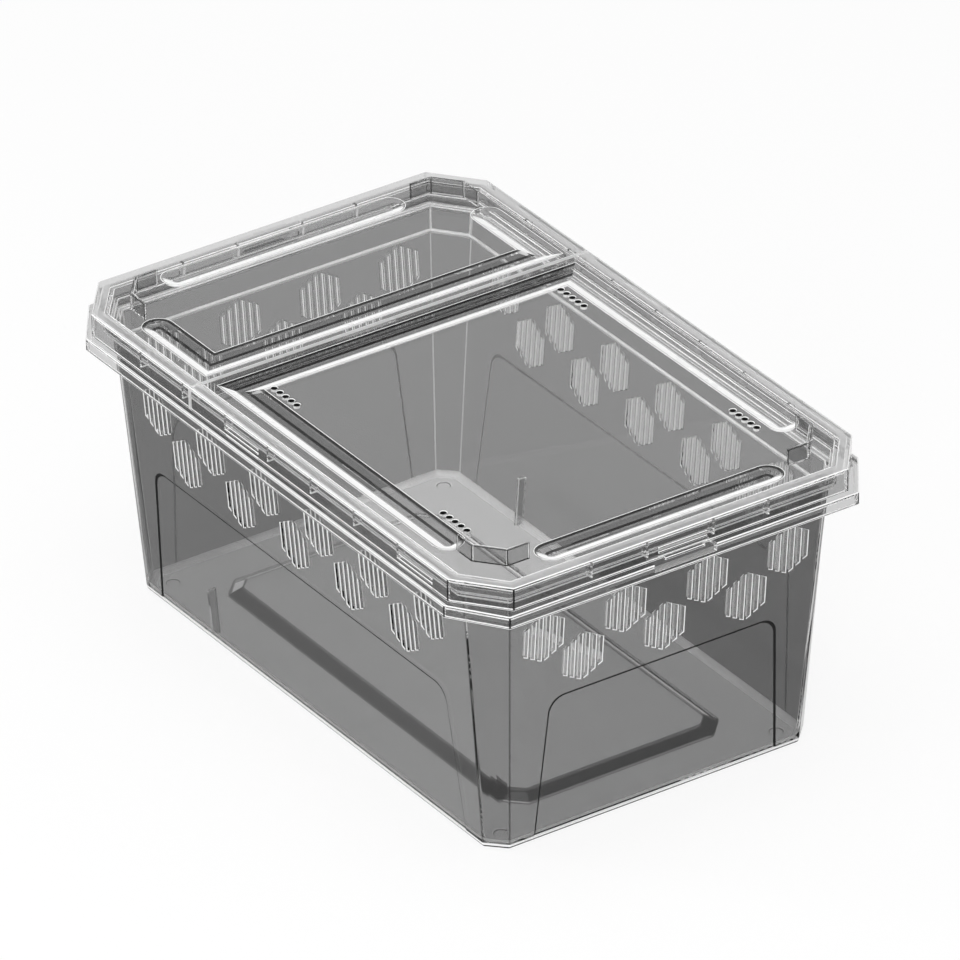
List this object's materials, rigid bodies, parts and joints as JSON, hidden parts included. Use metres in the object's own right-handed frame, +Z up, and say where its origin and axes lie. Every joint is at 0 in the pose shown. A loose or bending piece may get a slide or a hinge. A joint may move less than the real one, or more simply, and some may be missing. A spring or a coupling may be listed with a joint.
{
  "type": "reptile breeding box",
  "caption": "Clear plastic breeding box: a tapered tub with slotted vents and a flanged lip, under two separate lift-off covers with grooves and corner fences.",
  "frame": {"origin": "middle of the underside of the tub", "axes": "+Z up; +X along the length, towards the end under the large cover; +Y across the width"},
  "size_m": [0.3252, 0.2132, 0.1507],
  "materials": {
    "clear_tub_plastic": "clear moulded polystyrene, polished, faint grey",
    "clear_lid_plastic": "clear moulded polystyrene, polished, faint grey"
  },
  "bodies": {
    "tub": {"tub": "clear_tub_plastic"},
    "front_lid": {"front_lid": "clear_lid_plastic"},
    "rear_lid": {"rear_lid": "clear_lid_plastic"}
  },
  "joints": [
    {"name": "front_lid_lift", "type": "slide", "parent": "tub", "child": "front_lid", "axis": [0, 0, 1], "range_m": [0, 0.16]},
    {"name": "rear_lid_lift", "type": "slide", "parent": "tub", "child": "rear_lid", "axis": [0, 0, 1], "range_m": [0, 0.16]}
  ]
}
